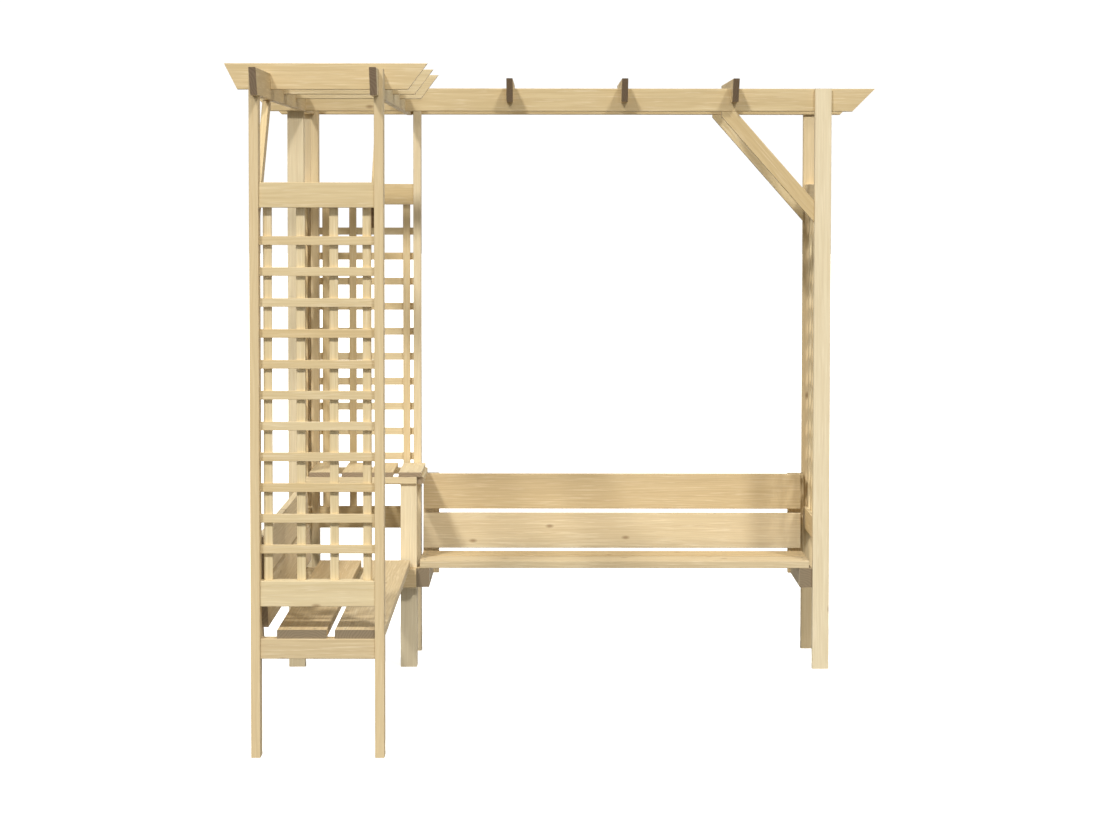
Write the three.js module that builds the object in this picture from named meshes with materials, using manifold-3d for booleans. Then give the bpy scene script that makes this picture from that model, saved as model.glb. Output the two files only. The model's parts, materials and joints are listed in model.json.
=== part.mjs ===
// Corner arbour seat in pressure-treated pine: a pergola on two wings set in an L, each with a bench,
// trellis panels at its ends and a slatted table in the corner between the benches.
// Millimetres, +Z up. The back wing runs along X and the left wing comes forward along -Y.
// While the pieces are placed, x = 0 is the outer face of the left wing's outer beam and y = 0 is the
// rear face of the back wing's rear beam, so every place is measured from the outer corner of the L.
import * as THREE from 'three';
import { mergeVertices } from 'three/addons/utils/BufferGeometryUtils.js';
import Module from 'manifold-3d';

const wasm = await Module();
wasm.setup();

// Timber sections
const postWidth = 58;
const postThickness = 28;
const legWidth = 58;
const beamHeight = 80;
const beamThickness = 21;
const rafterHeight = 80;
const rafterThickness = 22;
const braceWidth = 50;
const braceThickness = 20;
const railThickness = 45;
const bearerThickness = 45;
const bearerHeight = 67;
const seatRailHeight = 60;
const seatPlankThickness = 26;
const backPlankThickness = 21;
const backPlankWidth = 128;
const supportWidth = 58;
const supportThickness = 28;
const lathWidth = 26;
const lathThickness = 12;
const slatWidth = 81;
const slatThickness = 16;
const tableRailHeight = 24.5;
const rearTableRailHeight = 23;
const tableRailThickness = 21;

// Heights above the ground
const beamTop = 2046;
const rafterRise = 31;
const trellisDrop = 254;
const topRailHeight = 75;
const bottomRailHeight = 77;
const bottomRailTop = 529;
const seatTop = 382;
const backrestBottom = 382;
const tableTop = 693;

// Plan of the pergola
const backBeamLength = 2200;
const leftBeamLength = 2100;
const backWingDepth = 406;
const leftWingDepth = 371;
const backBeamOverhang = 182.5;
const leftBeamOverhang = 150;
const beamEndRun = 80;
const leftBeamFrontRun = 45;
const backRafterOverhang = 108;
const backRafterLength = 623;
const leftRafterOverhang = 122;
const leftRafterLength = 623;
const rafterOuterRun = 41;
const rafterInnerRun = 60;
const postProud = 14;
const frontLeftProud = 12;
const rightEndOverhang = 153.5;
const frontEndOverhang = 103;
const cornerPostDepth = 28;
const rearPanelX = 6;
const rearPanelRear = -7;
const rearPanelGap = 346;
const backRafterShares = [0.2551, 0.5345, 0.8035];
const leftRafterShares = [0.2415, 0.5286, 0.8156];

// Braces between the end posts and the beams
const braceRun = 276;
const braceDrop = 313;
const frontBraceNose = 17;
const rearBraceNose = 9;
const braceSetBack = 7.5;

// Trellis
const lathCount = 11;
const lowestLathInset = 93;
const highestLathInset = 97;
const uprightCount = 4;
const uprightPitch = 98.3;
const lathLap = 2;

// Benches
const leftPlankWidth = 148;
const backPlankDepth = 117;
const plankGap = 24;
const backSeatFront = -411;
const seatEndGap = 12;
const backrestEndGap = 10;
const leftSeatInner = 385;
const leftSeatFrontInset = 12;
const leftSeatRearGap = 10;
const backrestGap = 15;
const leanAngle = 3.4;
const backBackrestSet = 68;
const leftBackrestSet = 29;
const leftBackrestRearGap = 12;
const leftSupportInset = 7;
const rightSupportReach = 3.5;
const taperedSupportThickness = 40;

// Corner table
const slatCount = 4;
const slatPitch = 100.3;
const lastSlatShift = 15;
const tableRight = 424.3;
const tableFrontOverhang = 8;
const rearTableRailReach = 24;

// The planed timber's long arrises are eased; its sawn ends are left square.
const easedRadius = 2;
const easedSteps = 2;

// Clearance left between touching pieces, and how far a cut runs past the piece
const fitGap = 0.3;
const overrun = 5;

const beamBottom = beamTop - beamHeight;
const beamMiddle = beamTop - beamHeight / 2;
const rafterTop = beamTop + rafterRise;
const rafterBottom = rafterTop - rafterHeight;
const rafterSeat = (rafterBottom + beamTop) / 2;
const beamZ = [beamBottom, beamTop];
const rafterZ = [rafterBottom, rafterTop];
const seatBottom = seatTop - seatPlankThickness;
const lean = Math.tan(THREE.MathUtils.degToRad(leanAngle));

const arbour = new THREE.Group();

const framing = { color: 0xdec89e, roughness: 0.72, metalness: 0 };
const trellis = { color: 0xd9c193, roughness: 0.75, metalness: 0 };
const bench = { color: 0xd8bf94, roughness: 0.68, metalness: 0 };
const table = { color: 0xdcc59a, roughness: 0.7, metalness: 0 };

function solidOf(geometry) {
  geometry.deleteAttribute('normal');
  geometry.deleteAttribute('uv');
  const merged = mergeVertices(geometry);
  const vertProperties = new Float32Array(merged.attributes.position.array);
  const triVerts = new Uint32Array(merged.index.array);
  return new wasm.Manifold(new wasm.Mesh({ numProp: 3, vertProperties, triVerts }));
}

function geometryOf(solid) {
  const mesh = solid.getMesh();
  const geometry = new THREE.BufferGeometry();
  geometry.setAttribute('position', new THREE.BufferAttribute(mesh.vertProperties, 3));
  geometry.setIndex(new THREE.BufferAttribute(mesh.triVerts, 1));
  geometry.computeVertexNormals();
  return geometry;
}

// A squared timber between low and high limits on each axis.
function boxed(x, y, z) {
  const geometry = new THREE.BoxGeometry(x[1] - x[0], y[1] - y[0], z[1] - z[0]);
  geometry.translate(middleOf(x), middleOf(y), middleOf(z));
  return geometry;
}

function block(x, y, z) {
  return solidOf(boxed(x, y, z));
}

// The section of a planed board, with its corners rounded.
function easedSection(width, height) {
  const quarter = Math.PI / 2;
  const right = width - easedRadius;
  const top = height - easedRadius;
  const section = new THREE.Shape();
  section.absarc(right, easedRadius, easedRadius, -quarter, 0);
  section.absarc(right, top, easedRadius, 0, quarter);
  section.absarc(easedRadius, top, easedRadius, quarter, 2 * quarter);
  section.absarc(easedRadius, easedRadius, easedRadius, 2 * quarter, 3 * quarter);
  return section;
}

// A planed board between low and high limits on each axis, its section drawn along its longest side.
function planed(x, y, z) {
  const sizes = [x, y, z].map((range) => range[1] - range[0]);
  const along = sizes.indexOf(Math.max(...sizes));
  const units = [new THREE.Vector3(1, 0, 0), new THREE.Vector3(0, 1, 0), new THREE.Vector3(0, 0, 1)];
  const section = easedSection(sizes[(along + 1) % 3], sizes[(along + 2) % 3]);
  const settings = { depth: sizes[along], bevelEnabled: false, curveSegments: easedSteps / 2 };
  const geometry = new THREE.ExtrudeGeometry(section, settings);
  const turn = new THREE.Matrix4();
  turn.makeBasis(units[(along + 1) % 3], units[(along + 2) % 3], units[along]);
  geometry.applyMatrix4(turn);
  geometry.translate(x[0], y[0], z[0]);
  return geometry;
}

function board(x, y, z) {
  return solidOf(planed(x, y, z));
}

// Slides each layer of a geometry along the ground by a share of its height above a level.
function leaned(geometry, level, slopeX, slopeY) {
  geometry.translate(0, 0, -level);
  geometry.applyMatrix4(new THREE.Matrix4().makeShear(0, 0, 0, 0, slopeX, slopeY));
  geometry.translate(0, 0, level);
  return solidOf(geometry);
}

// Lifts each slice of a geometry by a share of its distance from a place on the ground.
function raked(geometry, x, y, slopeX, slopeY) {
  geometry.translate(-x, -y, 0);
  geometry.applyMatrix4(new THREE.Matrix4().makeShear(0, slopeX, 0, slopeY, 0, 0));
  geometry.translate(x, y, 0);
  return solidOf(geometry);
}

// A side outline drawn along X and up, given its thickness across Y.
function alongX(points, y) {
  const basis = new THREE.Matrix4();
  basis.makeBasis(new THREE.Vector3(1, 0, 0), new THREE.Vector3(0, 0, 1), new THREE.Vector3(0, -1, 0));
  const geometry = extruded(points, y[1] - y[0]);
  geometry.applyMatrix4(basis);
  geometry.translate(0, y[1], 0);
  return solidOf(geometry);
}

// A side outline drawn along Y and up, given its thickness across X.
function alongY(points, x) {
  const basis = new THREE.Matrix4();
  basis.makeBasis(new THREE.Vector3(0, 1, 0), new THREE.Vector3(0, 0, 1), new THREE.Vector3(1, 0, 0));
  const geometry = extruded(points, x[1] - x[0]);
  geometry.applyMatrix4(basis);
  geometry.translate(x[0], 0, 0);
  return solidOf(geometry);
}

function extruded(points, depth) {
  const shape = new THREE.Shape(points.map((point) => new THREE.Vector2(point[0], point[1])));
  return new THREE.ExtrudeGeometry(shape, { depth, bevelEnabled: false });
}

function cut(solid, cutters) {
  let result = solid;
  for (const cutter of cutters) {
    result = result.subtract(cutter);
  }
  return result;
}

function add(name, timber, solid) {
  const mesh = new THREE.Mesh(geometryOf(solid), new THREE.MeshStandardMaterial(timber));
  mesh.name = name;
  arbour.add(mesh);
}

function from(start, size) {
  return [start, start + size];
}

function upTo(end, size) {
  return [end - size, end];
}

function centredOn(middle, size) {
  return [middle - size / 2, middle + size / 2];
}

function middleOf(range) {
  return (range[0] + range[1]) / 2;
}

function widened(range) {
  return [range[0] - fitGap, range[1] + fitGap];
}

function between(range) {
  return [range[0] + fitGap, range[1] - fitGap];
}

function overrunOf(range) {
  return [range[0] - overrun, range[1] + overrun];
}

function overrunTo(range) {
  return [range[0], range[1] + postWidth];
}

function overrunFrom(range) {
  return [range[0] - postWidth, range[1]];
}

// Plan ranges that several pieces share
const outerBeamX = from(0, beamThickness);
const innerBeamX = upTo(leftWingDepth, beamThickness);
const rearBeamY = upTo(0, beamThickness);
const frontBeamY = from(-backWingDepth, beamThickness);

const frontPanel = {
  left: from(-frontLeftProud, postThickness),
  right: upTo(leftWingDepth + postProud, postThickness),
  depth: from(leftBeamOverhang - leftBeamLength + frontEndOverhang, postWidth),
};
const rightPanel = {
  front: from(-backWingDepth - postProud, postThickness),
  rear: upTo(postProud, postThickness),
  depth: upTo(backBeamLength - backBeamOverhang - rightEndOverhang, postWidth),
};
const rearPanel = {
  left: from(rearPanelX, postThickness),
  right: from(rearPanelX + postThickness + rearPanelGap, postThickness),
  depth: upTo(rearPanelRear, postWidth),
};
const cornerPanel = {
  front: from(frontBeamY[1] + fitGap, cornerPostDepth),
  rear: from(rearPanelRear + fitGap, cornerPostDepth),
  depth: upTo(rearPanelX - fitGap + (postWidth - railThickness) / 2, postWidth),
};
const leg = {
  x: upTo(rearPanel.right[1], legWidth),
  y: from(frontBeamY[1], legWidth),
};

// Beams. The back wing's beams are halved from above and the left wing's from below where they cross,
// and every beam is notched from above for the rafters that sit on it.
function slantedEnds(length, z, startRun, endRun) {
  const rise = z[1] - z[0];
  const above = overrun / rise;
  return [
    [length[0] - startRun * above, z[1] + overrun],
    [length[0] + startRun * (1 + above), z[0] - overrun],
    [length[1] - endRun * (1 + above), z[0] - overrun],
    [length[1] + endRun * above, z[1] + overrun],
  ];
}

function slantedAlongX(x, y, z, startRun, endRun) {
  return board(x, y, z).intersect(alongX(slantedEnds(x, z, startRun, endRun), overrunOf(y)));
}

function slantedAlongY(x, y, z, startRun, endRun) {
  return board(x, y, z).intersect(alongY(slantedEnds(y, z, startRun, endRun), overrunOf(x)));
}

const openRange = [-leftBeamLength - backBeamLength, leftBeamLength + backBeamLength];

function rafterRangesX() {
  const clear = rightPanel.depth[0] - innerBeamX[1];
  return backRafterShares.map((share) => centredOn(innerBeamX[1] + share * clear, rafterThickness));
}

function rafterRangesY() {
  const clear = frontBeamY[0] - frontPanel.depth[1];
  return leftRafterShares.map((share) => centredOn(frontBeamY[0] - share * clear, rafterThickness));
}

function notchesX(ranges, z) {
  return ranges.map((range) => block(widened(range), openRange, z));
}

function notchesY(ranges, z) {
  return ranges.map((range) => block(openRange, widened(range), z));
}

function addBackBeam(name, y) {
  const timber = slantedAlongX(from(-backBeamOverhang, backBeamLength), y, beamZ, beamEndRun, beamEndRun);
  const crossings = notchesX([outerBeamX, innerBeamX], [beamMiddle - fitGap, beamTop + overrun]);
  const rafters = notchesX(rafterRangesX(), [rafterSeat - fitGap, beamTop + overrun]);
  add(name, framing, cut(timber, [...crossings, ...rafters]));
}

function addLeftBeam(name, x) {
  const y = upTo(leftBeamOverhang, leftBeamLength);
  const timber = slantedAlongY(x, y, beamZ, leftBeamFrontRun, beamEndRun);
  const crossings = notchesY([frontBeamY, rearBeamY], [beamBottom - overrun, beamMiddle]);
  const rafters = notchesY(rafterRangesY(), [rafterSeat - fitGap, beamTop + overrun]);
  add(name, framing, cut(timber, [...crossings, ...rafters]));
}

addBackBeam('back_wing_front_beam', frontBeamY);
addBackBeam('back_wing_rear_beam', rearBeamY);
addLeftBeam('left_wing_outer_beam', outerBeamX);
addLeftBeam('left_wing_inner_beam', innerBeamX);

// Rafters, notched from below over both beams of their wing.
function addBackRafter(name, x) {
  const y = upTo(backRafterOverhang, backRafterLength);
  const timber = slantedAlongY(x, y, rafterZ, rafterInnerRun, rafterOuterRun);
  const seats = notchesY([frontBeamY, rearBeamY], [rafterBottom - overrun, rafterSeat]);
  add(name, framing, cut(timber, seats));
}

function addLeftRafter(name, y) {
  const x = from(-leftRafterOverhang, leftRafterLength);
  const timber = slantedAlongX(x, y, rafterZ, rafterOuterRun, rafterInnerRun);
  const seats = notchesX([outerBeamX, innerBeamX], [rafterBottom - overrun, rafterSeat]);
  add(name, framing, cut(timber, seats));
}

rafterRangesX().forEach((range, index) => addBackRafter(`back_wing_rafter_${index + 1}`, range));
rafterRangesY().forEach((range, index) => addLeftRafter(`left_wing_rafter_${index + 1}`, range));

// Posts, each cut away at the top to house the beams that it carries.
const housing = [beamBottom - fitGap, beamTop + overrun];

function addPost(name, x, y, beamsX, beamsY) {
  const cutters = [...notchesX(beamsX, housing), ...notchesY(beamsY, housing)];
  add(name, framing, cut(board(x, y, [0, beamTop]), cutters));
}

addPost('front_end_post_left', frontPanel.left, frontPanel.depth, [outerBeamX], []);
addPost('front_end_post_right', frontPanel.right, frontPanel.depth, [innerBeamX], []);
addPost('right_end_post_front', rightPanel.depth, rightPanel.front, [], [frontBeamY]);
addPost('right_end_post_rear', rightPanel.depth, rightPanel.rear, [], [rearBeamY]);
addPost('rear_corner_post_left', rearPanel.left, rearPanel.depth, [outerBeamX], [rearBeamY]);
addPost('rear_corner_post_right', rearPanel.right, rearPanel.depth, [], [rearBeamY]);
addPost('left_corner_post_front', cornerPanel.depth, cornerPanel.front, [outerBeamX], []);
addPost('left_corner_post_rear', cornerPanel.depth, cornerPanel.rear, [outerBeamX], [rearBeamY]);

// Braces. Each is a board raked up from the post, cut level under the beam and upright at its nose.
const braceSlope = braceDrop / braceRun;
const braceCut = braceWidth * Math.hypot(1, braceSlope);
const braceFoot = beamBottom - fitGap - braceDrop;
const braceZ = upTo(braceFoot, braceCut);
const overBrace = [beamBottom - fitGap, beamTop];

function braceLength(nose) {
  return braceRun + braceCut / braceSlope - nose;
}

function addRightBrace(name, beamY, nose) {
  const post = rightPanel.depth[0] - fitGap;
  const x = upTo(post, braceLength(nose));
  const y = from(beamY[0] - braceSetBack, braceThickness);
  const timber = raked(planed(x, y, braceZ), post, 0, -braceSlope, 0);
  add(name, framing, cut(timber, [block(overrunOf(x), overrunOf(y), overBrace)]));
}

function addFrontBrace(name, beamX, nose) {
  const post = frontPanel.depth[1] + fitGap;
  const y = from(post, braceLength(nose));
  const x = from(beamX[0] - braceSetBack, braceThickness);
  const timber = raked(planed(x, y, braceZ), 0, post, 0, braceSlope);
  add(name, framing, cut(timber, [block(overrunOf(x), overrunOf(y), overBrace)]));
}

addRightBrace('right_end_brace_front', frontBeamY, frontBraceNose);
addRightBrace('right_end_brace_rear', rearBeamY, rearBraceNose);
addFrontBrace('front_end_brace_outer', outerBeamX, frontBraceNose);
addFrontBrace('front_end_brace_inner', innerBeamX, frontBraceNose);

// Trellis panels: a top and a bottom rail between two posts, with a lattice of halved laths between
// them. The rails lie in the middle of the posts' width, the level laths outside and the uprights inside.
const topRailZ = upTo(beamBottom - trellisDrop, topRailHeight);
const bottomRailZ = upTo(bottomRailTop, bottomRailHeight);
const lowestLath = bottomRailZ[1] + lowestLathInset;
const highestLath = topRailZ[0] - highestLathInset;
const lathPitch = (highestLath - lowestLath) / (lathCount - 1);

function lattice(clear, middle, outward, placed) {
  const level = [middle, middle + outward * lathThickness].sort((a, b) => a - b);
  const inner = middle + outward * lathLap;
  const upright = [inner - outward * lathThickness, inner].sort((a, b) => a - b);
  const laths = [];
  for (let i = 0; i < lathCount; i += 1) {
    const z = centredOn(lowestLath + i * lathPitch, lathWidth);
    laths.push(placed(between(clear), level, z));
  }
  for (let i = 0; i < uprightCount; i += 1) {
    const z = between([bottomRailZ[1], topRailZ[0]]);
    const along = centredOn(middleOf(clear) + (i - (uprightCount - 1) / 2) * uprightPitch, lathWidth);
    laths.push(placed(along, upright, z));
  }
  return laths.reduce((whole, lath) => whole.add(lath));
}

function addPanel(name, clear, depth, outward, placed) {
  const across = centredOn(middleOf(depth), railThickness);
  add(`${name}_top_rail`, trellis, placed(between(clear), across, topRailZ, board));
  add(`${name}_bottom_rail`, trellis, placed(between(clear), across, bottomRailZ, board));
  add(`${name}_lattice`, trellis, lattice(clear, middleOf(depth), outward, placed));
}

const facingY = (along, across, z, timber = block) => timber(along, across, z);
const facingX = (along, across, z, timber = block) => timber(across, along, z);

addPanel('front_end', [frontPanel.left[1], frontPanel.right[0]], frontPanel.depth, -1, facingY);
addPanel('rear_corner', [rearPanel.left[1], rearPanel.right[0]], rearPanel.depth, 1, facingY);
addPanel('left_corner', [cornerPanel.front[1], cornerPanel.rear[0]], cornerPanel.depth, -1, facingX);
addPanel('right_end', [rightPanel.front[1], rightPanel.rear[0]], rightPanel.depth, 1, facingX);

// Backrests lean away from their seat. A face is given by its place at the foot of the boards.
const backSeatRear = backSeatFront + 2 * backPlankDepth + plankGap;
const leftSeatOuter = leftSeatInner - 2 * leftPlankWidth - plankGap;
const backFace = backSeatRear + backBackrestSet;
const leftFace = leftSeatOuter - leftBackrestSet;
const backrestTop = backrestBottom + 2 * backPlankWidth + backrestGap;
const supportSet = backPlankThickness + fitGap;

// Seat bearers. A rail between the front end posts and a bearer against the table leg carry the left
// bench, and two bearers along the posts carry the back bench. Each bearer ends on a backrest support.
const bearerTop = seatBottom - fitGap;
const bearerZ = upTo(bearerTop, bearerHeight);
const leftBearerX = from(rearPanel.right[1] + fitGap, bearerThickness);
const rightBearerX = upTo(rightPanel.depth[0] - fitGap, bearerThickness);
const cornerBearerY = upTo(leg.y[0] - fitGap, bearerThickness);
const behindBack = from(backFace + supportSet - fitGap, taperedSupportThickness);
const behindLeft = upTo(leftFace - supportSet + fitGap, taperedSupportThickness);

function addBearers() {
  const frontRailX = between([frontPanel.left[1], frontPanel.right[0]]);
  const frontRailY = centredOn(middleOf(frontPanel.depth), railThickness);
  const backY = [backSeatFront, behindBack[1]];
  const cornerX = [behindLeft[0], leg.x[1]];
  const around = overrunOf(bearerZ);
  const backEnd = leaned(boxed(openRange, overrunTo(behindBack), around), backrestBottom, 0, lean);
  const leftEnd = leaned(boxed(overrunFrom(behindLeft), openRange, around), backrestBottom, -lean, 0);
  add('front_end_seat_rail', bench, board(frontRailX, frontRailY, upTo(bearerTop, seatRailHeight)));
  add('corner_bearer', bench, cut(board(cornerX, cornerBearerY, bearerZ), [leftEnd]));
  add('back_bench_bearer_left', bench, cut(board(leftBearerX, backY, bearerZ), [backEnd]));
  add('back_bench_bearer_right', bench, cut(board(rightBearerX, backY, bearerZ), [backEnd]));
}

addBearers();

// Seats: two planks a bench. The left bench's inner plank is notched round the front end post.
const seatZ = [seatBottom, seatTop];
const backBenchX = [rearPanel.right[1] + seatEndGap, rightPanel.depth[0] - seatEndGap];

function addSeats() {
  const leftY = [frontPanel.depth[0] + leftSeatFrontInset, leg.y[0] - leftSeatRearGap];
  const post = block(widened(frontPanel.right), widened(frontPanel.depth), [0, beamTop]);
  for (let i = 0; i < 2; i += 1) {
    const side = i === 0 ? 'inner' : 'outer';
    const x = upTo(leftSeatInner - i * (leftPlankWidth + plankGap), leftPlankWidth);
    add(`left_bench_seat_plank_${side}`, bench, cut(board(x, leftY, seatZ), [post]));
  }
  for (let i = 0; i < 2; i += 1) {
    const side = i === 0 ? 'front' : 'rear';
    const y = from(backSeatFront + i * (backPlankDepth + plankGap), backPlankDepth);
    add(`back_bench_seat_plank_${side}`, bench, board(backBenchX, y, seatZ));
  }
}

addSeats();

function backrestZ(index) {
  return from(backrestBottom + index * (backPlankWidth + backrestGap), backPlankWidth);
}

const supportZ = [bearerZ[0], backrestTop];

function addBackBackrest() {
  const x = [rearPanel.right[1] + backrestEndGap, rightPanel.depth[0] - backrestEndGap];
  const thickness = from(backFace, backPlankThickness);
  ['lower', 'upper'].forEach((level, index) => {
    const plank = leaned(planed(x, thickness, backrestZ(index)), backrestBottom, 0, lean);
    add(`back_bench_back_plank_${level}`, bench, plank);
  });
  const y = from(backFace + supportSet, supportThickness);
  const leftX = from(rearPanel.right[1] + leftSupportInset, supportWidth);
  const rightX = upTo(rightPanel.depth[0] + rightSupportReach, supportWidth);
  add('back_bench_support_left', bench, leaned(planed(leftX, y, supportZ), backrestBottom, 0, lean));
  add('back_bench_support_right', bench, leaned(planed(rightX, y, supportZ), backrestBottom, 0, lean));
}

// The left bench's front support stands behind the end post and is tapered to end flush with it.
function addLeftBackrest() {
  const y = [frontPanel.depth[1] + fitGap, leg.y[0] - leftBackrestRearGap];
  const thickness = upTo(leftFace, backPlankThickness);
  ['lower', 'upper'].forEach((level, index) => {
    const plank = leaned(planed(thickness, y, backrestZ(index)), backrestBottom, -lean, 0);
    add(`left_bench_back_plank_${level}`, bench, plank);
  });
  const frontX = upTo(leftFace - supportSet, taperedSupportThickness);
  const rearX = upTo(leftFace - supportSet, supportThickness);
  const front = leaned(planed(frontX, from(y[0], supportWidth), supportZ), backrestBottom, -lean, 0);
  const rear = leaned(planed(rearX, upTo(y[1], supportWidth), supportZ), backrestBottom, -lean, 0);
  const beyondPost = block(upTo(frontPanel.left[0], backBeamLength), openRange, overrunOf(supportZ));
  add('left_bench_support_front', bench, cut(front, [beyondPost]));
  add('left_bench_support_rear', bench, rear);
}

addBackBackrest();
addLeftBackrest();

// Corner table: a leg and three rails carry the slats. The rear rail is fixed across the rear posts and
// runs past them to meet the side rail, which lies along the leg's right face.
const slatBottom = tableTop - slatThickness;
const tableRailZ = upTo(slatBottom - fitGap, tableRailHeight);

function addTable() {
  const frontRailX = [cornerPanel.depth[1] + fitGap, leg.x[1]];
  const rearRailX = [rearPanel.left[0], rearPanel.right[1] + rearTableRailReach];
  const rearRailY = upTo(rearPanel.depth[0] - fitGap, tableRailThickness);
  const sideRailX = [leg.x[1] + fitGap, rearRailX[1]];
  const sideRailY = [leg.y[0], rearRailY[0] - fitGap];
  const slatY = [leg.y[0] - tableFrontOverhang, rearPanel.depth[0] - fitGap];
  add('table_leg', table, board(leg.x, leg.y, [0, tableRailZ[0] - fitGap]));
  add('table_front_rail', table, board(frontRailX, from(slatY[0], tableRailThickness), tableRailZ));
  add('table_rear_rail', table, board(rearRailX, rearRailY, upTo(tableRailZ[1], rearTableRailHeight)));
  add('table_side_rail', table, board(sideRailX, sideRailY, tableRailZ));
  for (let i = 0; i < slatCount; i += 1) {
    const shift = i === slatCount - 1 ? lastSlatShift : 0;
    const x = upTo(tableRight - i * slatPitch - shift, slatWidth);
    add(`table_slat_${i + 1}`, table, board(x, slatY, [slatBottom, tableTop]));
  }
}

addTable();

// The finished arbour stands with the middle of its plan at the origin.
const middleX = -backBeamOverhang + backBeamLength / 2;
const middleY = leftBeamOverhang - leftBeamLength / 2;
arbour.position.set(-middleX, -middleY, 0);

export default arbour;
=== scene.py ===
# %% [markdown]
# # Corner arbour seat
# The real object is a small garden pergola in the shape of an L, with a bench under each wing, trellis
# at its ends and in the corner, and a slatted table where the benches meet. All of it is planed, treated
# pine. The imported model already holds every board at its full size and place, so this lesson is about
# looks: timber grain, trellis laths, screw heads, light and a camera.

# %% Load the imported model
import json
import math
import random

import bmesh
import bpy
from mathutils import Euler, Matrix, Vector
from mathutils.bvhtree import BVHTree


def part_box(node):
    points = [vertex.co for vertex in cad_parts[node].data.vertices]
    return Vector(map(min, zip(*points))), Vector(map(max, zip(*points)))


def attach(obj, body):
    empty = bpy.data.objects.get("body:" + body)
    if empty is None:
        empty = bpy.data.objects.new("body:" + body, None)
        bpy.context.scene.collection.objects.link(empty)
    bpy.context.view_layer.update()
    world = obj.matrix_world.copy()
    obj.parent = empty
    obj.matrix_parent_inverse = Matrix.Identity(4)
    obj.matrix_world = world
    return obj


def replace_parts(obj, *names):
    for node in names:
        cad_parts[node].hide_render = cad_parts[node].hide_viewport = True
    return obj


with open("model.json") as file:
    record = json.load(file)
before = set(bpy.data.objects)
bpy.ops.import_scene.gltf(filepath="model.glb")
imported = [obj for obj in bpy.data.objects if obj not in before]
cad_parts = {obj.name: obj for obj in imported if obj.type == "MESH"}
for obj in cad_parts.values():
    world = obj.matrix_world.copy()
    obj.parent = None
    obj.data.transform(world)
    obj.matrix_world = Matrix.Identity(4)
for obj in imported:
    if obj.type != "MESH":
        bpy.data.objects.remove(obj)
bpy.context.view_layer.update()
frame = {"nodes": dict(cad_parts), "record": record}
scene = bpy.context.scene
print("boards in the model:", len(frame["nodes"]))

# %% [markdown]
# ## Sizes and colours
# Sizes are written in millimetres, as on a joiner's drawing, while Blender counts in metres. Colours are
# written as sRGB hex values, and were adjusted until the render's boards came near the photograph's. Shaders
# work in linear light, so one function turns one into the other. Without it, colours come out too pale.


# %% Sizes and colours
def mm(value):
    """Millimetres to metres."""
    return value / 1000


def colour(code):
    """sRGB hex to linear RGBA."""
    parts = [int(code[i : i + 2], 16) / 255 for i in (1, 3, 5)]
    linear = [c / 12.92 if c <= 0.04045 else ((c + 0.055) / 1.055) ** 2.4 for c in parts]
    return (*linear, 1.0)


print("pale pine in linear light:", [round(c, 3) for c in colour("#E7D7B5")])

# %% [markdown]
# ## Nodes
# Shaders and Geometry Nodes are both trees of nodes. A tree could be drawn by hand and saved, but one that
# a script builds can be read and changed line by line. One function adds any node: it sets the node's
# properties, and then sets each input to a value or links it to another node.


# %% Nodes
def add_node(tree, kind, inputs=(), **settings):
    """Adds a node. An input given a node is linked to that node's first output."""
    node = tree.nodes.new(kind)
    for key, value in settings.items():
        setattr(node, key, value)
    for key, value in dict(inputs).items():
        if isinstance(value, bpy.types.Node):
            value = value.outputs[0]
        if isinstance(value, bpy.types.NodeSocket):
            tree.links.new(value, node.inputs[key])
        else:
            node.inputs[key].default_value = value
    return node


def new_material(name):
    """A material with an empty shader tree."""
    material = bpy.data.materials.new(name)
    material.use_nodes = True
    material.node_tree.nodes.clear()
    return material, material.node_tree


# %% [markdown]
# ## Grain that follows the timber
# A tree grows in rings about its heart, and a board is a slice of it. So each board will carry a "grain"
# attribute: x runs along the timber, and y and z are measured from the heart of its tree, in metres.
# Patterns that read it show long stripes on a board's faces and arcs on its ends, whichever way the board
# lies in the arbour. Plain object coordinates would run the same way through every board and look cast.
# A pattern's scale then comes from its real size along the timber and across it.


# %% Scales along the grain
def per_mm(length, width):
    """The scale at which a pattern is this long and wide, in millimetres."""
    return (1 / mm(length), 1 / mm(width), 1 / mm(width))


print("a fibre 143 by 2.4 mm has the scale", [round(s) for s in per_mm(143, 2.4)])

# %% [markdown]
# ## Growth rings
# Pine's early wood is pale and its late wood is darker, in rings 2 to 5 mm apart. Rings that fine would
# be lost in a view of the whole arbour, so they are drawn 8 mm apart. A slow noise bends them by up to
# 26 mm either way, because no trunk is a true cylinder, and that turns the faces' stripes into figure.

# %% Growth rings
RING_SPACING = mm(7.85)
RING_BEND = mm(52)
WAVE_PERIOD = math.tau / 20  # the wave texture's own period at a scale of 1


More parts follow.
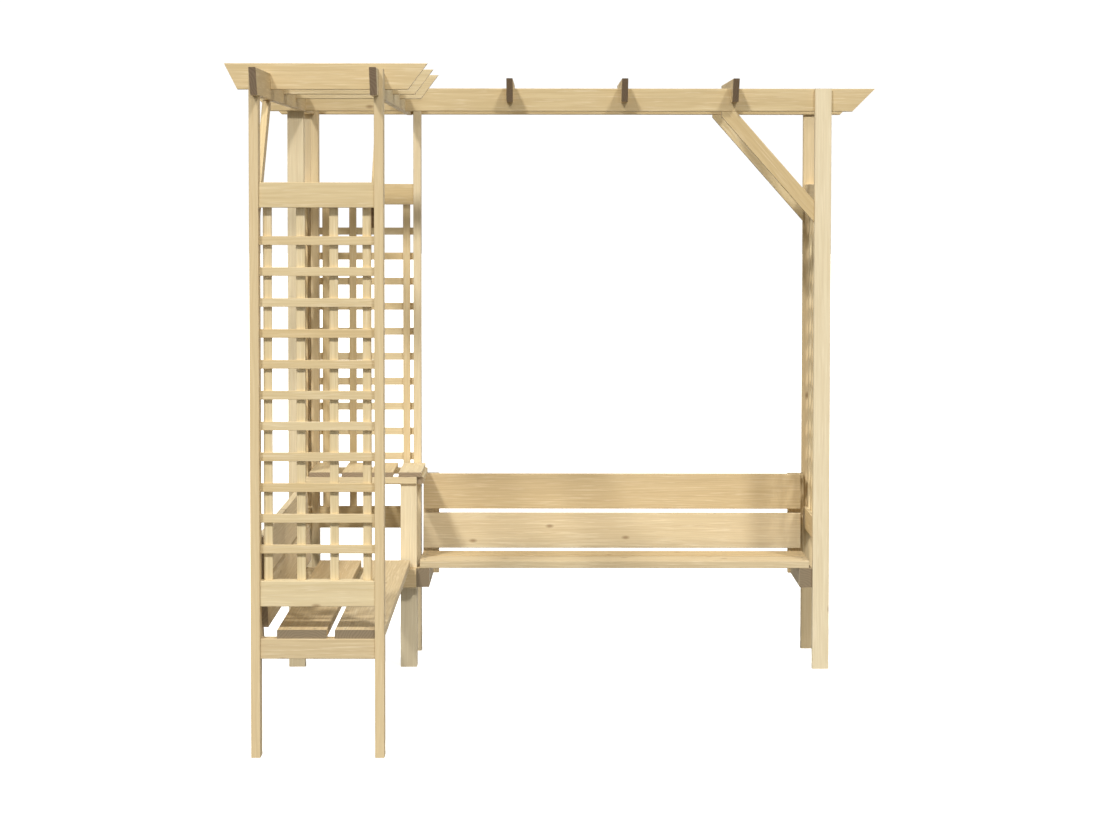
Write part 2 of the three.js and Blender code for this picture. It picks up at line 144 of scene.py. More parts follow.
def growth_rings(tree, grain):
    """0 in early wood and 1 in late wood."""
    slow = add_node(tree, "ShaderNodeMapping", {"Vector": grain, "Scale": per_mm(590, 91)})
    slow = {"Vector": slow, "Scale": 1.0, "Detail": 2.5}
    bend = add_node(tree, "ShaderNodeTexNoise", slow).outputs["Color"]
    bend = add_node(tree, "ShaderNodeVectorMath", {0: bend, 1: (0.5, 0.5, 0.5)}, operation="SUBTRACT")
    bend = add_node(tree, "ShaderNodeVectorMath", {0: bend, "Scale": RING_BEND}, operation="SCALE")
    place = add_node(tree, "ShaderNodeMapping", {"Vector": grain, "Scale": per_mm(33000, 1000)})
    place = add_node(tree, "ShaderNodeVectorMath", {0: place, 1: bend}, operation="ADD")
    wave = {"Vector": place, "Scale": WAVE_PERIOD / RING_SPACING, "Distortion": 5.0}
    wave |= {"Detail": 3.0, "Detail Scale": 0.5, "Detail Roughness": 0.6}
    kind = {"wave_type": "RINGS", "rings_direction": "X", "wave_profile": "SIN"}
    rings = add_node(tree, "ShaderNodeTexWave", wave, **kind).outputs["Fac"]
    steep = {"Value": rings, "From Min": 0.1, "From Max": 1.0}
    return add_node(tree, "ShaderNodeMapRange", steep, interpolation_type="SMOOTHSTEP")


print("rings are drawn every", round(RING_SPACING * 1000, 1), "mm")

# %% [markdown]
# ## Knots
# A branch leaves a small brown knot, drawn here about 23 by 11 mm. A Voronoi pattern has one place for a
# knot in each cell of 260 by 125 mm, and its cells' random colours choose which places have one. The
# pattern is flat, so a knot goes right through its board, as a branch does.

# %% Knots
KNOT_CELL = (mm(260), mm(125))
KNOT_CORE = 0.02  # of a cell: where the knot begins to fade, and where it ends
KNOT_EDGE = 0.07


def knots(tree, grain, share):
    """1 in a knot, for the given share of the places where one could be."""
    scale = (1 / KNOT_CELL[0], 1 / KNOT_CELL[1], 1)
    place = add_node(tree, "ShaderNodeMapping", {"Vector": grain, "Scale": scale})
    cells = {"Vector": place, "Scale": 1.0, "Randomness": 0.9}
    cells = add_node(tree, "ShaderNodeTexVoronoi", cells, voronoi_dimensions="2D").outputs
    lot = add_node(tree, "ShaderNodeSeparateColor", {"Color": cells["Color"]})
    chosen = add_node(tree, "ShaderNodeMath", {0: lot, 1: share}, operation="LESS_THAN")
    fade = {"Value": cells["Distance"], "From Min": KNOT_CORE, "From Max": KNOT_EDGE}
    near = add_node(tree, "ShaderNodeMapRange", fade | {"To Min": 1.0, "To Max": 0.0})
    return add_node(tree, "ShaderNodeMath", {0: near, 1: chosen}, operation="MULTIPLY")


print("a knot in mm:", [round(2000 * side * (KNOT_CORE + KNOT_EDGE) / 2) for side in KNOT_CELL])

# %% [markdown]
# ## Fibres, streaks, flecks and blotches
# Between its rings, wood shows long soft streaks, short pale flecks, slow changes of tone, and fibres.
# Each is the same noise at another size. Real fibres are far finer than a pixel, so they are drawn 2.4 mm
# wide, about a pixel at the arbour's front, as coarse as they must be to show.

# %% Patterns in the wood
# length along the grain and width across it in mm, detail, roughness
PATTERNS = {
    "fibres": (143, 2.4, 3.0, 0.6),
    "streaks": (417, 13, 3.0, 0.6),
    "flecks": (111, 5.3, 2.5, 0.6),
    "blotches": (770, 111, 2.0, 0.5),
}
# the noise value at which a pattern starts to show, and the one at which it shows fully
CONTRAST = {"streaks": (0.36, 0.68), "flecks": (0.54, 0.68)}


def wood_patterns(tree, grain):
    """A node for each pattern, with values from 0 to 1."""
    made = {}
    for name, (length, width, detail, roughness) in PATTERNS.items():
        place = add_node(tree, "ShaderNodeMapping", {"Vector": grain, "Scale": per_mm(length, width)})
        noise = {"Vector": place, "Scale": 1.0, "Detail": detail, "Roughness": roughness}
        made[name] = add_node(tree, "ShaderNodeTexNoise", noise)
    for name, (low, high) in CONTRAST.items():
        shown = {"Value": made[name], "From Min": low, "From Max": high}
        made[name] = add_node(tree, "ShaderNodeMapRange", shown)
    return made


for name, (length, width, *_) in PATTERNS.items():
    print(name, "are", length, "by", width, "mm")

# %% [markdown]
# ## Colour of a planed face
# Pale early wood comes first. Late wood lies over it where the rings are, more in some places than in
# others, and again in the streaks. The preservative leaves a faint green cast, and flecks are paler. The
# fibres then change its brightness by a few hundredths. Layers are easier to match to a photograph than one
# colour ramp, because each has its own strength.

# %% Colour of a planed face
CAST_GREEN = "#A3A86C"
FLECK_PALE = "#F0E2C4"


def planed_face(tree, patterns, rings, early, late, figure, green):
    """The wood's colour before the board's own tone and its knots."""
    figured = {0: patterns["blotches"], 1: figure, 2: figure * 0.1}
    figured = add_node(tree, "ShaderNodeMath", figured, operation="MULTIPLY_ADD")
    figured = add_node(tree, "ShaderNodeMath", {0: rings, 1: figured}, operation="MULTIPLY")
    streaked = add_node(tree, "ShaderNodeMath", {0: patterns["streaks"], 1: 0.28}, operation="MULTIPLY")
    cast = add_node(tree, "ShaderNodeMath", {0: patterns["blotches"], 1: green}, operation="MULTIPLY")
    flecked = add_node(tree, "ShaderNodeMath", {0: patterns["flecks"], 1: 0.4}, operation="MULTIPLY")
    face = colour(early)
    for amount, over in ((figured, late), (streaked, late), (cast, CAST_GREEN), (flecked, FLECK_PALE)):
        layer = {0: amount, 6: face, 7: colour(over)}
        face = add_node(tree, "ShaderNodeMix", layer, data_type="RGBA").outputs[2]
    fibre = {0: patterns["fibres"], 1: 0.18, 2: 0.95}
    fibre = add_node(tree, "ShaderNodeMath", fibre, operation="MULTIPLY_ADD")
    fibre = add_node(tree, "ShaderNodeCombineColor", {"Red": fibre, "Green": fibre, "Blue": fibre})
    fibred = {0: 1.0, 6: face, 7: fibre}
    return add_node(tree, "ShaderNodeMix", fibred, data_type="RGBA", blend_type="MULTIPLY").outputs[2]


# %% [markdown]
# ## Planed pine
# The boards are pine, planed on all sides and then pressure-treated. Planing leaves a matt face, with
# fibres that the eye reads as fine lines along the board. Sawn ends soak up more preservative, so they are
# darker and greyer. Roughness starts at 0.6, which is usual for planed wood, and the IOR of its fibres is
# near 1.5. The reflection is set weak to match the photograph: a stronger one showed the white surroundings
# and made the boards too pale. Growth rings and fibres also stand out a little, which a bump shows well
# enough at this distance.

# %% Planed pine
KNOT_BROWN = "#7E5A38"
YELLOW_BOARD = "#F3EBDD"
SAWN_LATE = "#5E4E3B"


def planed_pine(name, early, late, sawn, figure=0.3, green=0.10, knot_share=0.12):
    """figure is how strongly the rings show on the faces, and green is the preservative's cast."""
    material, tree = new_material(name)
    grain = add_node(tree, "ShaderNodeAttribute", attribute_name="grain").outputs["Vector"]
    board = add_node(tree, "ShaderNodeAttribute", attribute_name="board").outputs["Fac"]
    end = add_node(tree, "ShaderNodeAttribute", attribute_name="end").outputs["Fac"]
    patterns, rings = wood_patterns(tree, grain), growth_rings(tree, grain)

    face = planed_face(tree, patterns, rings, early, late, figure, green)
    tone = {0: board, 6: colour(YELLOW_BOARD), 7: (1.0, 1.0, 1.0, 1.0)}
    tone = add_node(tree, "ShaderNodeMix", tone, data_type="RGBA").outputs[2]
    face = {0: 1.0, 6: face, 7: tone}
    face = add_node(tree, "ShaderNodeMix", face, data_type="RGBA", blend_type="MULTIPLY").outputs[2]
    knotty = {0: knots(tree, grain, knot_share), 1: 0.6}
    knotty = add_node(tree, "ShaderNodeMath", knotty, operation="MULTIPLY")
    face = {0: knotty, 6: face, 7: colour(KNOT_BROWN)}
    face = add_node(tree, "ShaderNodeMix", face, data_type="RGBA").outputs[2]
    soaked = add_node(tree, "ShaderNodeMath", {0: rings, 1: 0.25}, operation="MULTIPLY")
    cut = {0: soaked, 6: colour(sawn), 7: colour(SAWN_LATE)}
    cut = add_node(tree, "ShaderNodeMix", cut, data_type="RGBA").outputs[2]
    shown = add_node(tree, "ShaderNodeMix", {0: end, 6: face, 7: cut}, data_type="RGBA").outputs[2]

    height = {0: rings, 1: -0.2, 2: patterns["fibres"]}
    height = add_node(tree, "ShaderNodeMath", height, operation="MULTIPLY_ADD")
    bump = add_node(tree, "ShaderNodeBump", {"Height": height, "Strength": 0.2, "Distance": mm(0.3)})
    rough = {0: patterns["fibres"], 1: 0.16, 2: 0.56}
    rough = add_node(tree, "ShaderNodeMath", rough, operation="MULTIPLY_ADD")
    surface = {"Base Color": shown, "Roughness": rough, "Normal": bump, "IOR": 1.5}
    surface = add_node(tree, "ShaderNodeBsdfPrincipled", surface | {"Specular IOR Level": 0.2})
    add_node(tree, "ShaderNodeOutputMaterial", {"Surface": surface})
    return material


# %% [markdown]
# ## One pine for each kind of board
# Boards for posts, beams, trellis, benches and table are bought in different sections, and each batch has
# its own colour. Posts are the palest and plainest, and the bench boards have the most knots. Each line
# gives early wood, late wood and sawn ends.

# %% Pines for the arbour
materials = {
    "post_pine": planed_pine("planed_pine_posts", "#E7D7B5", "#C8AF85", "#9C8A6E", figure=0.18, knot_share=0.05),
    "beam_pine": planed_pine("planed_pine_beams", "#DDC9A1", "#BA9E73", "#A48D73", green=0.16),
    "trellis_pine": planed_pine("planed_pine_trellis", "#DFCCA4", "#BDA375", "#9C8A6E", 0.24, knot_share=0.08),
    "bench_pine": planed_pine("planed_pine_benches", "#D9C6A1", "#B39873", "#8E7E65", knot_share=0.45),
    "table_pine": planed_pine("planed_pine_table", "#DECDA8", "#BAA078", "#A18D72"),
}
print("nodes in one pine:", len(materials["post_pine"].node_tree.nodes))

# %% [markdown]
# ## Zinc-plated steel
# Garden screws are steel with a thin, yellowish zinc coat, a little dull from handling. It is a metal, so
# it has no colour but that of its reflections, and it keeps the default IOR. Plating is rougher than
# polished steel, from 0.3 to 0.5, and spots about 1.5 mm wide change its tint and roughness.

# %% Zinc-plated steel
material, tree = new_material("zinc_plated_steel")
place = add_node(tree, "ShaderNodeTexCoord").outputs["Object"]
spots = add_node(tree, "ShaderNodeTexNoise", {"Vector": place, "Scale": 1 / mm(1.5), "Detail": 2.0})
tint = {0: spots.outputs[0], 6: colour("#B9B19A"), 7: colour("#8F8872")}
tint = add_node(tree, "ShaderNodeMix", tint, data_type="RGBA").outputs[2]
rough = add_node(tree, "ShaderNodeMath", {0: spots, 1: 0.2, 2: 0.3}, operation="MULTIPLY_ADD")
plated = {"Base Color": tint, "Metallic": 1.0, "Roughness": rough}
plated = add_node(tree, "ShaderNodeBsdfPrincipled", plated)
add_node(tree, "ShaderNodeOutputMaterial", {"Surface": plated})
materials["screw_zinc"] = material
print("finishes:", ", ".join(made.name for made in materials.values()))

# %% [markdown]
# ## How each board was sawn
# A board's grain runs along its longest side, except in the braces, where it follows the slope. The
# heart of its tree lies 45 to 150 mm from its middle, behind the wide face and to one side, and far from
# where its neighbours have theirs, so no two boards match. A seeded random generator deals them out.

# %% The way of the grain
HEART_NEAR = mm(45)
HEART_FAR = mm(150)
BRACE_SLOPE = math.atan2(mm(313), mm(276))
BRACE_WAYS = {
    "right_end_brace": Vector((-math.cos(BRACE_SLOPE), 0, math.sin(BRACE_SLOPE))),
    "front_end_brace": Vector((0, math.cos(BRACE_SLOPE), math.sin(BRACE_SLOPE))),
}
dice = random.Random(11)


def grain_axes(low, high, along=None):
    """Unit vectors along the timber, across its width and through its thickness."""
    sides = sorted(range(3), key=lambda i: high[i] - low[i], reverse=True)
    units = [Vector((1, 0, 0)), Vector((0, 1, 0)), Vector((0, 0, 1))]
    along = along or units[sides[0]]
    through = units[sides[2]]
    return along, through.cross(along).normalized(), through


def from_heart():
    """Where the board's middle lies, seen from the heart of its tree."""
    angle = dice.uniform(0.15, 1.2) * dice.choice((-1, 1))
    far = dice.uniform(HEART_NEAR, HEART_FAR)
    return Vector((dice.uniform(-40, 40), far * math.sin(angle), far * math.cos(angle)))


print("the braces rise at", round(math.degrees(BRACE_SLOPE), 1), "degrees")

# %% [markdown]
# ## Painting the grain onto a board
# The pine reads three attributes: "grain", "board" for the board's tone from yellow (0) to pale (1), and
# "end" for sawn ends. Most tones are dealt at random, and the boards that stand out in the photograph are
# set by name. One of these is painted shade: the rear corner's top rail gets the darkest tone for the dimmer
# light at the back of the corner. A vertex carries the first two, and a face the third, so that an end's
# colour stops at its edge.

# %% Painting the grain
SAWN_ABOVE = 0.5  # of a face's normal along the grain
BOARD_TONES_AND_SHADE = {
    "front_end_post_left": 0.0,
    "front_end_post_right": 0.0,
    "right_end_post_front": 1.0,
    "right_end_post_rear": 0.1,
    # painted shade: the darkest tone stands in for the dimmer light on this rail at the back
    "rear_corner_top_rail": 0.0,
    "table_leg": 1.0,
    "front_end_seat_rail": 0.5,
    "back_bench_back_plank_lower": 1.0,
    "back_bench_back_plank_upper": 0.2,
}


def paint_grain(mesh, node):
    low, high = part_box(node)
    along = next((way for start, way in BRACE_WAYS.items() if node.startswith(start)), None)
    axes = grain_axes(low, high, along)
    middle, heart, dealt = (low + high) / 2, from_heart(), dice.random()
    grain = []
    for vertex in mesh.vertices:
        offset = vertex.co - middle
        grain += list(Vector([offset.dot(axis) for axis in axes]) + heart)
    ends = [float(abs(face.normal.dot(axes[0])) > SAWN_ABOVE) for face in mesh.polygons]
    tones = [BOARD_TONES_AND_SHADE.get(node, dealt)] * len(mesh.vertices)
    mesh.attributes.new("grain", "FLOAT_VECTOR", "POINT").data.foreach_set("vector", grain)
    mesh.attributes.new("board", "FLOAT", "POINT").data.foreach_set("value", tones)
    mesh.attributes.new("end", "FLOAT", "FACE").data.foreach_set("value", ends)


print("boards with a tone of their own:", len(BOARD_TONES_AND_SHADE))

# %% [markdown]
# ## Flat faces and eased arrises
# A planed board is flat, and its long arrises are eased with a stroke of sandpaper. The model has that
# easing as a narrow band of faces. Smooth shading alone would bend the light over the whole face. Normals
# weighted by each face's area keep the faces flat and let only the narrow bands turn, and the sawn ends
# stay sharp because they meet the sides at more than 50 degrees.

# %% Finishing a piece
SHARP_FROM = math.radians(50)


def as_plain_mesh(piece, modifier):
    """Turns what the modifier makes into the piece's own mesh."""
    seen = piece.evaluated_get(bpy.context.evaluated_depsgraph_get())
    made = bpy.data.meshes.new_from_object(seen)
    piece.modifiers.remove(modifier)
    piece.data = made
    return made


def add_piece(name, mesh, slot):
    """Puts a finished mesh in the scene, on the arbour's one body."""
    mesh.materials.clear()
    mesh.materials.append(materials[slot])
    mesh.shade_smooth()
    mesh.set_sharp_from_angle(angle=SHARP_FROM)
    piece = bpy.data.objects.new(name, mesh)
    scene.collection.objects.link(piece)
    weighted = piece.modifiers.new("flat faces", "WEIGHTED_NORMAL")
    weighted.keep_sharp = True
    as_plain_mesh(piece, weighted)
    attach(piece, "root")
    return piece


# %% [markdown]
# ## Posts, beams, rafters, planks and rails
# The model's mesh of a board is loose triangles, which can't carry smooth shading. So each board is
# copied, its corners are merged and its flat faces are joined up again. The copy then stands for the
# model's node. Boards could be built anew from their sizes, but the model already has their joints and
# slanted ends, and a copy can't drift from them.


# %% Boards
def add_board(node, slot):
    mesh = frame["nodes"][node].data.copy()
    shape = bmesh.new()
    shape.from_mesh(mesh)
    bmesh.ops.remove_doubles(shape, verts=shape.verts, dist=mm(0.01))
    bmesh.ops.dissolve_limit(shape, angle_limit=math.radians(0.5), verts=shape.verts, edges=shape.edges)
    shape.to_mesh(mesh)
    shape.free()
    paint_grain(mesh, node)
    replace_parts(add_piece(f"{node}_pine", mesh, slot), node)


# each trellis panel, and the way that its level laths face
LATTICES = {
    "front_end_lattice": Vector((0, -1, 0)),
    "rear_corner_lattice": Vector((0, 1, 0)),
    "left_corner_lattice": Vector((-1, 0, 0)),
    "right_end_lattice": Vector((1, 0, 0)),
}
boards = [part for part in frame["record"]["subparts"] if part["node"] not in LATTICES]
for part in boards:
    add_board(part["node"], part["material_slot"])
print("boards dressed:", len(boards))

# %% [markdown]
# ## Named sizes for a tree
# A Geometry Nodes tree takes its sizes through named inputs, as a jig takes its stops, so that one tree
# can serve many pieces. The modifier that runs it knows its inputs only by identifiers that Blender deals
# out, so each one is looked up by its name. All are set before the object is first evaluated.


# %% Making and running a tree
def new_tree(name, output, inputs):
    """An empty tree with one output and named inputs. Returns it with its input sockets."""
    tree = bpy.data.node_groups.new(name, "GeometryNodeTree")
    tree.interface.new_socket(output, in_out="OUTPUT", socket_type="NodeSocketGeometry")
    for title, kind in inputs.items():
        tree.interface.new_socket(title, in_out="INPUT", socket_type=f"NodeSocket{kind}")
    return tree, add_node(tree, "NodeGroupInput").outputs


def grow(name, mesh, tree, sizes):
    """The plain mesh that a tree makes."""
    maker = bpy.data.objects.new(name, mesh)
    scene.collection.objects.link(maker)
    modifier = maker.modifiers.new(name, "NODES")
    modifier.node_group = tree
    for item in tree.interface.items_tree:
        if item.in_out == "INPUT" and item.name in sizes:
            modifier[item.identifier] = sizes[item.name]
    made = as_plain_mesh(maker, modifier)
    bpy.data.objects.remove(maker)
    return made


# %% [markdown]
# ## One trellis lath
# A lath is a strip of 26 by 12 mm with eased arrises. It repeats, so Geometry Nodes make it: a rounded
# outline is swept along a line. A scaled cube would have no arrises, and a bevel on it would change with
# its scale.

# %% Geometry Nodes: a lath
lath, size = new_tree("eased_lath", "Lath", dict.fromkeys(["Length", "Width", "Thickness", "Arris"], "Float"))
outline = {"Width": size["Thickness"], "Height": size["Width"]}
outline = add_node(lath, "GeometryNodeCurvePrimitiveQuadrilateral", outline)
eased = {"Curve": outline, "Count": 2, "Radius": size["Arris"]}
eased = add_node(lath, "GeometryNodeFilletCurve", eased, mode="POLY")
half = add_node(lath, "ShaderNodeMath", {0: size["Length"], 1: 0.5}, operation="MULTIPLY")
back = add_node(lath, "ShaderNodeMath", {0: half, 1: -1.0}, operation="MULTIPLY")
start = add_node(lath, "ShaderNodeCombineXYZ", {"X": back})
end = add_node(lath, "ShaderNodeCombineXYZ", {"X": half})
line = add_node(lath, "GeometryNodeCurvePrimitiveLine", {"Start": start, "End": end})
strip = {"Curve": line, "Profile Curve": eased, "Fill Caps": True}
strip = add_node(lath, "GeometryNodeCurveToMesh", strip)
print("nodes for the lath's shape:", len(lath.nodes))

# %% [markdown]
# ## Grain in a lath
# The lath's grain is stored while it still lies along X, where "along the timber" is simply X, and it
# keeps that grain however it is turned later. A face that looks along X is a sawn end.

# %% Geometry Nodes: grain in a lath
place = add_node(lath, "GeometryNodeInputPosition")
grained = {"Geometry": strip, "Name": "grain", "Value": place}
on_points = {"data_type": "FLOAT_VECTOR", "domain": "POINT"}
grained = add_node(lath, "GeometryNodeStoreNamedAttribute", grained, **on_points)
normal = add_node(lath, "GeometryNodeInputNormal")
lean = add_node(lath, "ShaderNodeSeparateXYZ", {0: normal})
lean = add_node(lath, "ShaderNodeMath", {0: lean}, operation="ABSOLUTE")
sawn = add_node(lath, "ShaderNodeMath", {0: lean, 1: SAWN_ABOVE}, operation="GREATER_THAN")
ended = {"Geometry": grained, "Name": "end", "Value": sawn}
ended = add_node(lath, "GeometryNodeStoreNamedAttribute", ended, data_type="FLOAT", domain="FACE")
add_node(lath, "NodeGroupOutput", {"Lath": ended})
print("nodes for a whole lath:", len(lath.nodes))

# %% [markdown]
# ## Where a panel's laths lie
# A panel is 11 level laths let 2 mm into 4 uprights. In the model it is one solid, because that is how it
# is handled and how it collides. Here it is laid out lath by lath, so that the grain runs crosswise where
# laths cross. Both sets of laths stand on a line of points: the level ones flush with the panel's outer
# face, which is at Y = 0, and the uprights behind them.

# %% Geometry Nodes: two lines of points
lengths = ["Panel Width", "Panel Height", "Lath Width", "Lath Thickness", "Arris", "Lap"]
lengths += ["Lowest Lath", "Highest Lath", "Upright Pitch"]
sockets = dict.fromkeys(lengths, "Float") | dict.fromkeys(["Level Laths", "Uprights", "Seed"], "Int")
panel, size = new_tree("trellis_panel", "Panel", sockets)

spaces = add_node(panel, "ShaderNodeMath", {0: size["Level Laths"], 1: 1.0}, operation="SUBTRACT")
reach = add_node(panel, "ShaderNodeMath", {0: size["Highest Lath"], 1: size["Lowest Lath"]}, operation="SUBTRACT")
step = add_node(panel, "ShaderNodeMath", {0: reach, 1: spaces}, operation="DIVIDE")
step = add_node(panel, "ShaderNodeCombineXYZ", {"Z": step})
middle = add_node(panel, "ShaderNodeMath", {0: size["Lath Thickness"], 1: -0.5}, operation="MULTIPLY")
first = add_node(panel, "ShaderNodeCombineXYZ", {"Y": middle, "Z": size["Lowest Lath"]})
rows = {"Count": size["Level Laths"], "Start Location": first, "Offset": step}
rows = add_node(panel, "GeometryNodeMeshLine", rows)

left = add_node(panel, "ShaderNodeMath", {0: size["Uprights"], 1: -0.5, 2: 0.5}, operation="MULTIPLY_ADD")
left = add_node(panel, "ShaderNodeMath", {0: left, 1: size["Upright Pitch"]}, operation="MULTIPLY")
behind = {0: size["Lath Thickness"], 1: -1.5, 2: size["Lap"]}
behind = add_node(panel, "ShaderNodeMath", behind, operation="MULTIPLY_ADD")
centre = add_node(panel, "ShaderNodeMath", {0: size["Panel Height"], 1: 0.5}, operation="MULTIPLY")
first = add_node(panel, "ShaderNodeCombineXYZ", {"X": left, "Y": behind, "Z": centre})
step = add_node(panel, "ShaderNodeCombineXYZ", {"X": size["Upright Pitch"]})
columns = {"Count": size["Uprights"], "Start Location": first, "Offset": step}
columns = add_node(panel, "GeometryNodeMeshLine", columns)
print("a panel's named sizes:", ", ".join(sockets))

# %% [markdown]
# ## Laths on the points
# The lath's tree is used twice, once as long as the panel is wide and once as long as it is high. The
# second is stood upright. Each point then gets its lath.

# %% Geometry Nodes: laths on the points
strip = {"Width": size["Lath Width"], "Thickness": size["Lath Thickness"], "Arris": size["Arris"]}
level = add_node(panel, "GeometryNodeGroup", node_tree=lath)
upright = add_node(panel, "GeometryNodeGroup", node_tree=lath)
for node, length in ((level, "Panel Width"), (upright, "Panel Height")):
    for name, socket in (strip | {"Length": size[length]}).items():
        panel.links.new(socket, node.inputs[name])
stood_up = {"Geometry": upright, "Rotation": Euler((0, -math.pi / 2, 0))}
stood_up = add_node(panel, "GeometryNodeTransform", stood_up)
laths = add_node(panel, "GeometryNodeJoinGeometry")
for points, kind in ((rows, level), (columns, stood_up)):
    placed = add_node(panel, "GeometryNodeInstanceOnPoints", {"Points": points, "Instance": kind})
    panel.links.new(placed.outputs[0], laths.inputs[0])
print("nodes in the panel's tree so far:", len(panel.nodes))

# %% [markdown]
# ## Each lath from its own tree
# Laths of one panel are sawn from many boards. So each one is dealt its own tone and its own place in a
# tree, from a fixed seed, while it is still an instance. They are then realised, because the export drops
# instances, and each lath's place is added to its grain.

# %% Geometry Nodes: tone and heart of each lath
# a random value's sockets 0 and 1 are a vector's lowest and highest, and 2 and 3 are a number's
tone = {2: 0.0, 3: 1.0, "Seed": size["Seed"]}
tone = add_node(panel, "FunctionNodeRandomValue", tone, data_type="FLOAT").outputs[1]
toned = {"Geometry": laths, "Name": "board", "Value": tone}
toned = add_node(panel, "GeometryNodeStoreNamedAttribute", toned, data_type="FLOAT", domain="INSTANCE")
heart = {0: (-40, -mm(90), mm(50)), 1: (40, mm(90), mm(140)), "Seed": size["Seed"]}
heart = add_node(panel, "FunctionNodeRandomValue", heart, data_type="FLOAT_VECTOR")
hearted = {"Geometry": toned, "Name": "heart", "Value": heart}
on_laths = {"data_type": "FLOAT_VECTOR", "domain": "INSTANCE"}
hearted = add_node(panel, "GeometryNodeStoreNamedAttribute", hearted, **on_laths)

real = add_node(panel, "GeometryNodeRealizeInstances", {"Geometry": hearted})
vector = {"data_type": "FLOAT_VECTOR"}
grain = add_node(panel, "GeometryNodeInputNamedAttribute", {"Name": "grain"}, **vector)
heart = add_node(panel, "GeometryNodeInputNamedAttribute", {"Name": "heart"}, **vector)
grain = add_node(panel, "ShaderNodeVectorMath", {0: grain, 1: heart}, operation="ADD")
grained = {"Geometry": real, "Name": "grain", "Value": grain}
grained = add_node(panel, "GeometryNodeStoreNamedAttribute", grained, **on_points)
shown = {"Geometry": grained, "Material": materials["trellis_pine"]}
shown = add_node(panel, "GeometryNodeSetMaterial", shown)
add_node(panel, "NodeGroupOutput", {"Panel": shown})
print("nodes in the whole panel's tree:", len(panel.nodes))

# %% [markdown]
# ## The four panels
# The panels differ in width, and each faces its own way: the level laths lie on the outside. A panel is
# made in front of its Y axis and then turned and moved inside its mesh, so that its object stays at the
# origin, as the model's own nodes do. Its foot is the middle of the node's outer face.

# %% The four panels
LATH_SIZES = {"Lath Width": mm(26), "Lath Thickness": mm(12), "Arris": mm(1.2), "Lap": mm(2)}
LATH_COUNTS = {"Level Laths": 11, "Uprights": 4}
LOWEST_INSET = mm(93)
HIGHEST_INSET = mm(97)
for seed, (node, outward) in enumerate(LATTICES.items()):
    low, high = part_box(node)
    depth = max(range(2), key=lambda i: abs(outward[i]))
    spread = high - low
    sizes = {"Panel Width": spread[1 - depth], "Panel Height": spread.z, "Upright Pitch": mm(98.3)}
    sizes |= {"Lowest Lath": LOWEST_INSET, "Highest Lath": spread.z - HIGHEST_INSET, "Seed": seed}
    start = bpy.data.meshes.new(f"{node}_start")
    made = grow(f"{node}_maker", start, panel, LATH_SIZES | LATH_COUNTS | sizes)
    made.attributes.remove(made.attributes["heart"])
    foot = Vector(((low.x + high.x) / 2, (low.y + high.y) / 2, low.z)) + outward * spread[depth] / 2
    up = Vector((0, 0, 1))
    turn = Matrix((outward.cross(up), outward, up)).transposed().to_4x4()
    made.transform(Matrix.Translation(foot) @ turn)
    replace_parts(add_piece(f"{node}_laths", made, "trellis_pine"), node)
    sides = [[vertex.co[i] for vertex in made.vertices] for i in range(3)]
    print(node, "in mm:", [round(1000 * (max(side) - min(side)), 1) for side in sides])

# %% [markdown]
# ## Boards that are screwed together
# The photograph shows no screws, so their number and places are a guess. Most stand on faces that its
# camera can't see. The others are in the tops of the seats and the table, which it sees at so low an angle
# that a head is less than half a pixel high. Each line below says which way the heads face, which boards the
# screws go through, which boards they go into, and how many stand at each crossing.

# %% Boards that are screwed together
UP, BACK, LEFT = Vector((0, 0, 1)), Vector((0, 1, 0)), Vector((-1, 0, 0))
left_seat = ["left_bench_seat_plank_inner", "left_bench_seat_plank_outer"]
back_seat = ["back_bench_seat_plank_front", "back_bench_seat_plank_rear"]
left_backrest = ["left_bench_back_plank_lower", "left_bench_back_plank_upper"]
back_backrest = ["back_bench_back_plank_lower", "back_bench_back_plank_upper"]
slats = [f"table_slat_{i}" for i in (1, 2, 3, 4)]
rafters = [f"{wing}_wing_rafter_{i}" for wing in ("back", "left") for i in (1, 2, 3)]
beams = ["back_wing_front_beam", "back_wing_rear_beam", "left_wing_outer_beam", "left_wing_inner_beam"]
FIXINGS = [
    (UP, left_seat, ["front_end_seat_rail", "corner_bearer"], 2),
    (UP, back_seat, ["back_bench_bearer_left", "back_bench_bearer_right"], 2),
    (UP, slats, ["table_front_rail", "table_rear_rail"], 1),
    (UP, rafters, beams, 1),
    (BACK, ["back_bench_support_left", "back_bench_support_right"], back_backrest, 2),
    (LEFT, ["left_bench_support_front", "left_bench_support_rear"], left_backrest, 2),
    (LEFT, ["front_end_post_left"], ["front_end_top_rail", "front_end_bottom_rail", "front_end_seat_rail"], 2),
    (LEFT, ["rear_corner_post_left"], ["rear_corner_top_rail", "rear_corner_bottom_rail"], 2),
    (BACK, ["right_end_post_rear"], ["right_end_top_rail", "right_end_bottom_rail"], 2),
    (BACK, ["left_corner_post_rear"], ["left_corner_top_rail", "left_corner_bottom_rail"], 2),
]
print("kinds of fixing:", len(FIXINGS))

# %% [markdown]
# ## Where the screws go
# A screw's place follows from the two boards that it joins: it is the middle of the area that they share,
# or a pair to both sides of it. A ray from outside then finds the real surface, because the backrests'
# supports lean and a typed-in place would miss them.

# %% Finding each screw's place
PAIR_SPACING = 0.5  # of the crossing's longer side
RAY_START = 5.0  # metres outside the arbour


